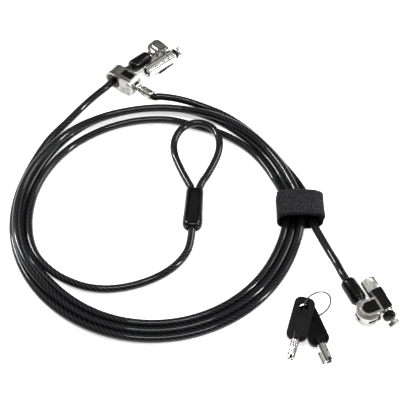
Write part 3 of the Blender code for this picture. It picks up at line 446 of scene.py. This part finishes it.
main_line = flow(
    [of_loop(-IN_SLEEVE, 0), of_loop(-L_END, 0)]
    + on_table((-6.4, -37.0, 4.0), (-8.4, -45.4, 3.2), (-12.9, -53.2, 2.85), (-19.2, -60.2, 2.8),
               (-28.0, -66.6, 2.8), (-39.4, -72.0, 2.8), (-51.6, -75.4, 2.8), (-63.7, -76.5, 2.8),
               (-75.6, -75.0, 2.8), (-86.8, -70.9, 2.8))
    + round_coil(WINDING)
    + on_table((-108.2, 62.6, 2.9), (-100.2, 73.2, 3.6), (-91.4, 84.6, 4.9), (-81.8, 95.4, 6.6))
    + [of_slider(EYE_X, -14.0, -0.1), of_slider(EYE_X, -9.0), of_slider(EYE_X, 0.0), of_slider(EYE_X, 8.6)]
    + [behind(2, SLEEVE_BACK + 3.5, 0.2), behind(2, SLEEVE_BACK - 0.2)], CABLE_STEP)

second_line = flow(
    [of_slider(FERRULE_END + 0.05, 0), of_slider(FERRULE_END + 1.8, 0), at(-32.4, 93.75, 8.3)]
    + round_coil([(89.2, 106.9, 8.4), (82, 106.6, 7.0), (74, 106.2, 4.6), (66, 105.7, 3.0),
                  (56, 103.8, 2.8), (46, 101.8, 2.8), (38, 101.0, 2.8), (28, 101.2, 2.9),
                  (18, 103.4, 3.9), (10, 106.0, 5.7), (4.4, 107.6, 6.6)])
    + on_table((76.6, -12.5, 6.6), (77.7, -21.0, 6.5), (80.7, -29.6, 5.9), (84.6, -38.8, 5.2),
               (88.6, -48.4, 5.0), (92.4, -57.8, 5.8))
    + [behind(1, SLEEVE_BACK + 6.3, -0.2), behind(1, SLEEVE_BACK - 0.2)], CABLE_STEP)

MAIN_LENGTH, LOOP_LENGTH, SECOND_LENGTH = 2.144, 0.152, 0.235

for name, line, length, nodes in (
        ("main_cable", main_line, MAIN_LENGTH, ("cable_coil", "cable_tail", "cable_to_slider")),
        ("loop_cable", loop_line, LOOP_LENGTH, ("cable_loop",)),
        ("second_cable", second_line, SECOND_LENGTH, ("second_cable_start", "second_cable_end"))):
    tube = piece(name, sheathed(line), SHEATH, "cable", smooth=60.0, stands_for=nodes)


# ================================================================ hook-and-loop tie
def squarish(rx, rz, a):
    c, s = math.cos(a), math.sin(a)
    return rx * math.copysign(abs(c) ** (2 / 3), c), rz * math.copysign(abs(s) ** (2 / 3), s)


def tie():
    """One strip of tape: once round the cables, then over its own start to the hook end."""
    spine = []
    a = TAB_FROM + 2
    ramp_on, ramp_off, past = 360 + TAB_FROM - 16, 360 + TAB_FROM + 6, 600      # it climbs over its start
    under, mid = STRAP_T - 0.2, STRAP_T / 2
    while a <= 360 + TAB_TO:
        lift = through([(0, 0.0), (ramp_on, 0.0), (ramp_off, TAB_LIFT), (past, TAB_LIFT)], a)[0]
        thick = through([(0, under), (ramp_on, under), (ramp_off, TAB_T), (past, TAB_T)], a)[0]
        x, z = squarish(STRAP_RX - mid + lift, STRAP_H / 2 - mid + lift, math.radians(a))
        spine.append((Vector((x, 0, z)), thick))
        a += 2.0
    edge = [(-1, -1), (-0.93, -1), (-0.5, -1), (0, -1), (0.5, -1), (0.93, -1), (1, -1),
            (1, 1), (0.93, 1), (0.5, 1), (0, 1), (-0.5, 1), (-0.93, 1), (-1, 1)]
    rings, along, s = [], [], 0.0
    for i, (p, thick) in enumerate(spine):
        q0, q1 = spine[max(i - 1, 0)][0], spine[min(i + 1, len(spine) - 1)][0]
        ahead = (q1 - q0).normalized()
        out = Vector((0, 1, 0)).cross(ahead).normalized()
        if out.dot(p) < 0:
            out.negate()
        if i:
            s += (p - spine[i - 1][0]).length
        ring = []
        for w, h in edge:
            pinch = 0.35 if abs(w) == 1 else 1.0
            y = w * (STRAP_W / 2 - (0.0 if abs(w) == 1 else 0.02))
            flare = 0.35 * (w * w)
            off = h * thick / 2 * pinch + flare
            ring.append((p + out * off + Vector((0, y, 0))) * MM)
        rings.append(ring)
        along.append(s)
    bm = skin(bmesh.new(), rings, along=along)
    lay = bm.loops.layers.uv["lay"]
    for f in bm.faces:
        for loop in f.loops:
            loop[lay].uv = (loop[lay].uv[0], loop.vert.co.y / MM)
    ob = piece("tie", bm, TAPE, "cable", pose((*STRAP, STRAP_H / 2)), smooth=55.0,
               stands_for=("tie_band", "tie_tab"))
    soft = ob.modifiers.new("soft_edges", "SUBSURF")
    soft.levels = soft.render_levels = 1
    return ob


tie()


# ================================================================ machined and moulded pieces, edges broken
def eased(node, finish_, body, place, width=0.18, name=None):
    """The frame's own piece with its sharp edges broken, as tumbling and plating leave them."""
    bm = bmesh.new()
    bm.from_mesh(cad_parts[node].data)
    bmesh.ops.remove_doubles(bm, verts=bm.verts, dist=0.002 * MM)
    bmesh.ops.transform(bm, matrix=place.inverted(), verts=bm.verts)
    bmesh.ops.dissolve_limit(bm, angle_limit=math.radians(0.6), verts=bm.verts, edges=bm.edges)
    ob = piece(name or node + "_skin", bm, finish_, body, place, smooth=30.0, stands_for=(node,))
    b = ob.modifiers.new("broken_edges", "BEVEL")
    b.width = width * MM
    b.segments = 2
    b.limit_method = "ANGLE"
    b.angle_limit = math.radians(32)
    b.harden_normals = True
    b.miter_outer = "MITER_ARC"
    return ob


SHOULDER = 10.31             # the plates' corners sweep inside this
SLEEVE_R, BORE_R, NECK_R = 5.4, 2.9, 3.7
SLEEVE_CUT = [
    (-27.0, BORE_R), (-27.0, 3.7), (-26.8, 4.15), (-26.4, 4.62), (-25.9, 4.95), (-25.3, 5.2), (-24.6, 5.35),
    (-23.8, SLEEVE_R), (-SHOULDER - 1.0, SLEEVE_R), (-SHOULDER - 0.35, 5.25), (-SHOULDER, 4.85),
    (-SHOULDER, 4.35), (-9.2, 4.3), (-8.95, 4.1), (-SLEEVE_FRONT, NECK_R), (-14.0, NECK_R), (-14.0, BORE_R)]

RIBS, POINTS_PER_RIB = 14, 10
RIB_FROM, RIB_SWEEP = 28, 124          # degrees round the barrel
RIB_ROOT, RIB_HIGH, RIB_SEAT = 5.24, 0.30, 5.215
# Each pair: place along the barrel, and the share of its height that a rib has there.
RIB_ENDS = ((-21.15, 0.0), (-20.85, 1.0), (-11.7, 1.0), (-11.4, 0.0))


def ribbed_shell():
    """Half of the barrel is cut with fine straight ribs for the fingers."""
    outer, inner = [], []
    for k in range(RIBS * POINTS_PER_RIB + 1):
        a = math.radians(RIB_FROM + RIB_SWEEP * k / (RIBS * POINTS_PER_RIB))
        crest = abs(math.cos(math.pi * k / POINTS_PER_RIB)) ** 0.7
        outer.append((a, RIB_ROOT + RIB_HIGH * (1 - crest)))
        inner.append((a, RIB_SEAT))
    section = outer + inner[::-1]
    rings = []
    for x, share in RIB_ENDS:
        ring = []
        for a, r in section:
            high = RIB_ROOT + (r - RIB_ROOT) * (share if r > RIB_SEAT + 0.015 else 1)
            ring.append(Vector((x, AXIS_SPAN + high * math.cos(a), high * math.sin(a))) * MM)
        rings.append(ring)
    return skin(bmesh.new(), rings, along=[-21.2, -20.9, -11.7, -11.4])


for n in (1, 2):
    h, at_h = "_%d" % n, HEAD_AT[n]
    for node, mat, body, slot, width in (
            ("knuckle", SATIN, "knuckle", "satin", 0.2),
            ("housing", CHROME, "head", "chrome", 0.15), ("badge_panel", BLACK, "head", "black", 0.12),
            ("plain_cover", CHROME, "head", "chrome", 0.2), ("nose_cap", CHROME, "head", "chrome", 0.15),
            ("key_plug", STEEL, "key_core", "steel", 0.1), ("locking_bar", STEEL, "key_core", "steel", 0.2),
            ("nose_collar", BLACK, "collar", "black", 0.15), ("latch_button", MATT, "button", "matt", 0.3)):
        eased(node + h, mat, body + h, at_h, width)
    piece("sleeve_skin" + h, lathe(SLEEVE_CUT), BLACK, "knuckle" + h, at_h, 50.0,
          ("cable_sleeve" + h,))
    piece("barrel_ribs" + h, ribbed_shell(), SATIN, "head" + h, at_h, 60.0)
    for node in ("cable_stud", "pivot_pin", "latch_spring"):
        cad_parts[node + h].data.materials.clear()
        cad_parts[node + h].data.materials.append(STEEL)

COVER_FACE, COVER_IN, LINE_W = 7.3, 1.15, 0.42       # face height, and the inset and width of the painted groove shade, mm
COVER_X, COVER_W, COVER_BACK, COVER_REACH = 1.2, 8.0, -5.2, 8.2
PROUD, SUNK = 0.02, 0.1      # the line's height over the cover and depth in it


def corner_loop(x0, x1, y0, y1, r, z, per=7):
    """A rectangle's outline with round corners, at one height."""
    out = []
    corners = ((x1 - r, y1 - r, 0), (x0 + r, y1 - r, 90), (x0 + r, y0 + r, 180), (x1 - r, y0 + r, 270))
    for cx, cy, start in corners:
        for k in range(per + 1):
            a = math.radians(start + 90 * k / per)
            out.append(Vector((cx + r * math.cos(a), cy + r * math.sin(a), z)) * MM)
    return out


def cover_groove_shade():
    """Painted shade of a groove: a thin dark strip let into the plain cover, all round and just inside its
    edge.
    """
    x0, x1 = COVER_X - COVER_W / 2, COVER_X + COVER_W / 2
    rings = []
    inner = COVER_IN + LINE_W
    for inset, z in ((COVER_IN, PROUD), (COVER_IN, -SUNK), (inner, -SUNK), (inner, PROUD)):
        rings.append(corner_loop(x0 + inset, x1 - inset, COVER_BACK + inset, COVER_REACH - inset,
                                 COVER_W / 2 - 0.2 - inset, -COVER_FACE - z))
    return skin(bmesh.new(), rings, ends=False, closed=True)


WINDOW_W, WINDOW_H, CUP_IN, CUP_OUT = 6.0, 3.2, 5.42, 6.9      # drum window, and the two radii of the cup of painted shade in it, mm
CUP_FLOOR, CUP_WALL, CUP_FIT = 0.15, 0.2, 0.03


def painted_shade_cup(turn):
    """Painted shade: a black cup in a window of the knuckle drum, so that the window reads as a dark opening.
    """
    rings = []
    face = Matrix.Rotation(math.radians(turn), 3, "Z")
    bottom = CUP_IN + CUP_FLOOR
    for x, inset in ((bottom, CUP_WALL), (CUP_OUT, CUP_WALL), (CUP_OUT, CUP_FIT), (CUP_IN, CUP_FIT)):
        wide, high = WINDOW_W / 2 - inset, WINDOW_H / 2 - inset
        outline = corner_loop(-wide, wide, -high, high, high - 0.05, 0.0)
        rings.append([face @ Vector((x * MM, p.x, p.y)) for p in outline])
    return skin(bmesh.new(), rings)


for n in (1, 2):
    # Painted shade: a thin dark strip where each plain cover has its groove.
    piece("cover_line_%d" % n, cover_groove_shade(), MATT, "head_%d" % n, HEAD_AT[n], 30.0)
    # Painted shade: a black cup in each window of the drum, so that the opening reads dark.
    for side, turn in (("front", 0.0), ("near", -90.0), ("far", 90.0)):
        piece("window_cup_%s_%d" % (side, n), painted_shade_cup(turn), MATT, "knuckle_%d" % n, HEAD_AT[n],
              40.0)

for node, mat, body, slot, width in (
        ("slider_body", SATIN, "slider", "satin", 0.35), ("slider_flange", SATIN, "slider", "satin", 0.25),
        ("slider_bushing", BLACK, "slider", "black", 0.3), ("slider_panel", BLACK, "slider", "black", 0.15),
        ("swivel_link", CHROME, "link", "chrome", 0.3), ("crimp_ferrule", SATIN, "ferrule", "satin", 0.2)):
    eased(node, mat, body, SLIDER_AT, width)


def swage():
    """Moulded sleeve over the crimp: waisted towards the loop, rounded off at the tail."""
    half = LOOP_SLEEVE_L / 2
    outside = [
        (-half, 8.2, 7.3), (-half + 0.12, 9.3, 7.7), (-half + 0.5, 10.7, 8.3), (-half + 1.1, 11.9, 8.8),
        (-half + 2.0, 13.0, 9.2), (-half + 3.2, 13.8, 9.38), (-half + 4.6, 14.2, 9.4), (-4.0, 13.6, 9.35),
        (6.0, 13.0, 9.25), (half - 2.2, 12.7, 9.1), (half - 1.1, 12.6, 8.8), (half - 0.4, 12.4, 8.3),
        (half, 12.2, 7.6)]
    inside = [(half, 11.7, 6.0), (-half + 3.6, 11.7, 6.0), (-half + 3.5, 7.6, 6.6), (-half, 7.6, 6.6)]
    rings = [oval(x, w, t) for x, w, t in outside]
    rings += [oval(x, w, t) for x, w, t in inside]
    shell = skin(bmesh.new(), rings, ends=False, closed=True)
    piece("swage_sleeve", shell, BLACK, "cable", LOOP_AT, 50.0, ("loop_sleeve",))


swage()
COLLAR_CUT = [(14.6, 1.9), (14.6, 2.9), (14.9, 3.25), (17.2, 3.25), (17.5, 2.9), (17.5, 1.9)]
piece("link_collar", lathe(COLLAR_CUT), CHROME, "link", SLIDER_AT, 50.0)
for node, mat in (("link_pin", STEEL), ("loop_core", ALUMINIUM)):
    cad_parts[node].data.materials.clear()
    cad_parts[node].data.materials.append(mat)

KEYS = {1: ((67.511, -94.998, 10.4), -107.0, 10.8), 2: ((70.128, -96.754, 4.1), -71.0, 1.0)}
for n, (p, turn, pitch) in KEYS.items():
    place = pose(p, turn, 0.0, pitch)
    k = "_%d" % n
    for node, mat, slot, width in (("key_bow", BOW, "black", 0.5), ("key_tube", CHROME, "chrome", 0.12),
                                   ("key_bit", STEEL, "steel", 0.15)):
        eased(node + k, mat, "key" + k, place, width)


# ================================================================ split ring
RING, RING_LEAN, RING_TURN = (76.518, -92.146, 9.408), 68.0, 20.0
RING_R, WIRE_WIDE, WIRE_THICK = 9.5, 0.56, 0.28      # half sizes of the flat wire
RING_PITCH = 0.62            # the second turn lies this far from the first


def split_ring():
    """Two turns of spring wire pressed flat against each other."""
    centre = at(*RING)
    lean, turn = math.radians(RING_LEAN), math.radians(RING_TURN)
    ax = Vector((math.cos(turn), math.sin(turn), 0))
    bx = Vector((-math.sin(turn), math.cos(turn), 0)) * math.cos(lean) + Vector((0, 0, 1)) * math.sin(lean)
    cx = ax.cross(bx)
    place = Matrix.Translation(centre) @ Matrix((ax, bx, cx)).transposed().to_4x4()
    rings, turns, steps = [], 2.0, 144
    for i in range(steps + 1):
        a = 2 * math.pi * turns * i / steps + 0.6
        rise = (i / steps - 0.5) * RING_PITCH
        rad = Vector((math.cos(a), math.sin(a), 0))
        ring = []
        for k in range(10):
            b = 2 * math.pi * k / 10
            up = Vector((0, 0, rise + WIRE_THICK * math.sin(b)))
            ring.append((rad * (RING_R + WIRE_WIDE * math.cos(b)) + up) * MM)
        rings.append(ring)
    wire = skin(bmesh.new(), rings, along=[i * 0.8 for i in range(steps + 1)])
    piece("split_ring", wire, SPRING, "ring", place, smooth=50.0, stands_for=("key_ring",))


split_ring()


# ================================================================ stage
FLOOR_REACH, FLOOR_DROP = 30.0, 0.0004      # m: its edge lies at the horizon, and it clears the cords
FLOOR_GLOW = 0.60


def stage():
    bm = bmesh.new()
    bmesh.ops.create_grid(bm, x_segments=1, y_segments=1, size=FLOOR_REACH)
    me = bpy.data.meshes.new("table")
    bm.to_mesh(me)
    bm.free()
    ob = bpy.data.objects.new("table", me)
    ob.location.z = -FLOOR_DROP
    bpy.context.scene.collection.objects.link(ob)
    m = bpy.data.materials.new("white_paper_sweep")
    m.use_nodes = True
    t = m.node_tree
    t.nodes.clear()
    ray = add(t, "LightPath")
    paper = add(t, "BsdfDiffuse", {"Color": ink("F4F4F4")})
    glow = add(t, "Emission", {"Color": ink("FFFFFF"), "Strength": FLOOR_GLOW})
    lit = add(t, "AddShader", {0: paper.outputs[0], 1: glow.outputs[0]})
    seen = add(t, "Math", {0: ray.outputs["Is Camera Ray"], 1: ray.outputs["Is Glossy Ray"]},
               operation="MAXIMUM")
    shown = add(t, "Math", {0: seen.outputs[0], 1: ray.outputs["Is Transmission Ray"]}, operation="MAXIMUM")
    pick = add(t, "MixShader", {0: shown.outputs[0], 1: paper.outputs[0], 2: lit.outputs[0]})
    add(t, "OutputMaterial", {"Surface": pick.outputs[0]})
    me.materials.append(m)


def sky():
    """Studio: a white sweep round the horizon, dark walls with one pale band, and a pale ceiling."""
    w = bpy.data.worlds.new("studio")
    bpy.context.scene.world = w
    w.use_nodes = True
    t = w.node_tree
    t.nodes.clear()
    way = add(t, "TexCoord")
    up = add(t, "SeparateXYZ", {"Vector": way.outputs["Generated"]})
    shade = add(t, "ValToRGB", {"Fac": up.outputs[2]},
                stops=((0.0, "FFFFFF"), (0.10, "FFFFFF"), (0.16, "101010"), (0.32, "101010"),
                       (0.42, "A2A2A2"), (0.52, "121212"), (0.68, "1A1A1A"), (0.76, "E0E0E0"),
                       (0.88, "ACACAC"), (1.0, "626262")))
    room = add(t, "Background", {"Color": shade.outputs[0], "Strength": 1.0})
    add(t, "OutputWorld", {"Surface": room.outputs[0]})


def softbox(name, place, aim, size, watts):
    lamp = bpy.data.lights.new(name, "AREA")
    lamp.shape = "RECTANGLE"
    lamp.size, lamp.size_y = size
    lamp.energy = watts
    ob = bpy.data.objects.new(name, lamp)
    bpy.context.scene.collection.objects.link(ob)
    ob.location = place
    ob.rotation_euler = (Vector(aim) - Vector(place)).to_track_quat("-Z", "Y").to_euler()


stage()
sky()
softbox("window_softbox", (0.95, 0.35, 0.75), (0, 0, 0), (0.50, 0.50), 8.0)
softbox("left_strip", (-0.75, 0.30, 0.65), (0, 0, 0), (0.06, 0.45), 9.0)
softbox("right_strip", (0.80, -0.25, 0.60), (0, 0, 0), (0.05, 0.35), 5.0)
softbox("top_strip", (0.0, -0.10, 1.1), (0, 0, 0), (0.50, 0.05), 5.0)

# ================================================================ camera
cam = bpy.data.cameras.new("camera")
cam.sensor_width = 36.0
cam.lens = 84.6
cam.clip_end = 20.0
eye = bpy.data.objects.new("camera", cam)
bpy.context.scene.collection.objects.link(eye)
AWAY, ELEVATION = 676.0, math.radians(53.0)
eye.location = at(0, -AWAY * math.cos(ELEVATION), AWAY * math.sin(ELEVATION))
eye.rotation_euler = (math.pi / 2 - ELEVATION, 0, 0)
bpy.context.scene.camera = eye
bpy.context.scene.view_settings.view_transform = "Standard"
